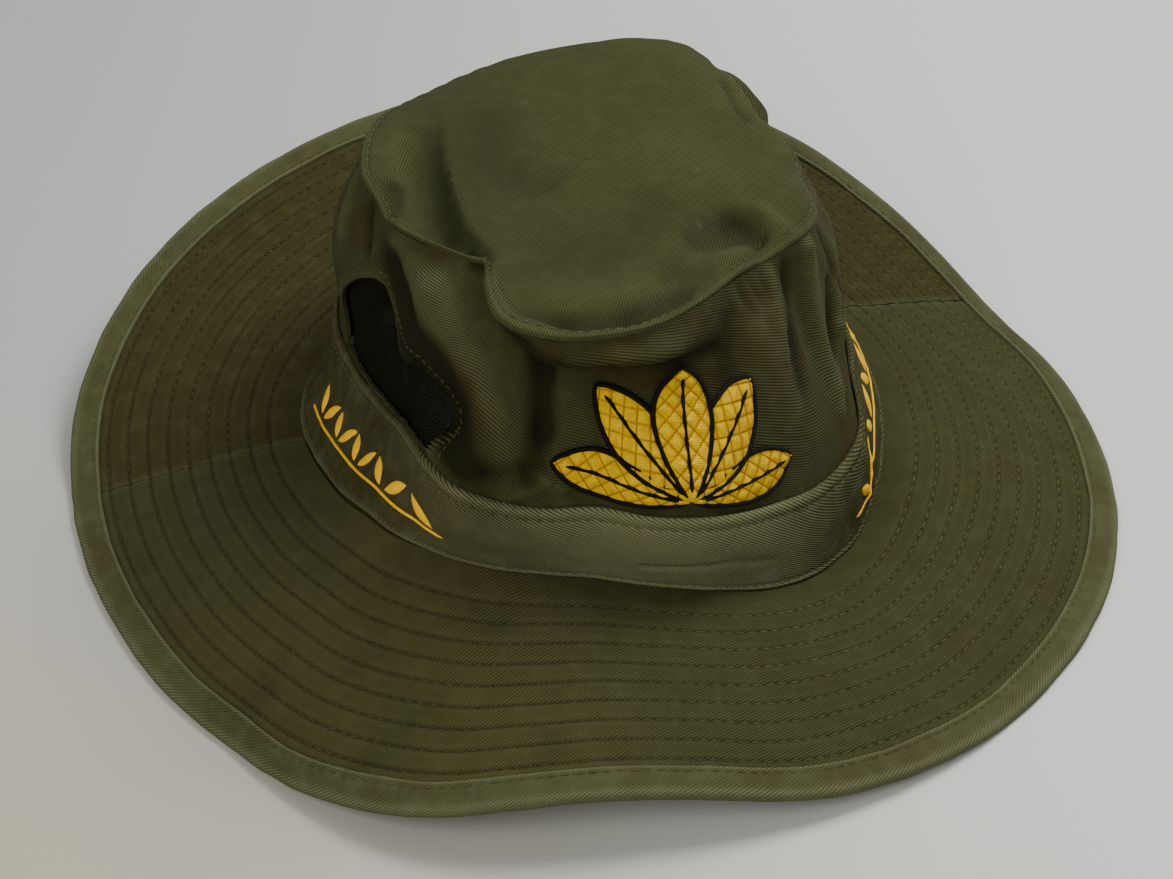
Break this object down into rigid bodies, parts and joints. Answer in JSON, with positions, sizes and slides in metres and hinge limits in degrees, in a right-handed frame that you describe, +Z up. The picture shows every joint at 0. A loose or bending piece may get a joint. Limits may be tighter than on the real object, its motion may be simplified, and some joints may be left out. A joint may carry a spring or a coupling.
{
  "type": "bush hat",
  "caption": "Soft bush hat in olive cotton twill, with a stitched brim, band, side vents, creased crown and a padded yellow leaf motif on the front, lying on its brim.",
  "frame": {"origin": "middle of the hat's plan box, on the table under its brim", "axes": "+Z up from the table, -Y to the front of the hat where the motif is, +X to the right seen from the front"},
  "size_m": [0.3074, 0.3248, 0.1195],
  "materials": {
    "twill_green": "matt olive green cotton twill",
    "twill_brown": "matt olive brown cotton twill",
    "binding": "worn, lighter ribbed cotton tape",
    "net": "black fine net",
    "thread": "shiny golden yellow embroidery thread"
  },
  "bodies": {
    "root": {"brim_front": "twill_green", "brim_back": "twill_brown", "brim_binding": "binding", "crown_side": "twill_green", "hat_band": "twill_brown", "crown_top": "twill_green", "vent_net_left": "net", "vent_net_right": "net", "leaf_embroidery": "thread"}
  },
  "joints": []
}
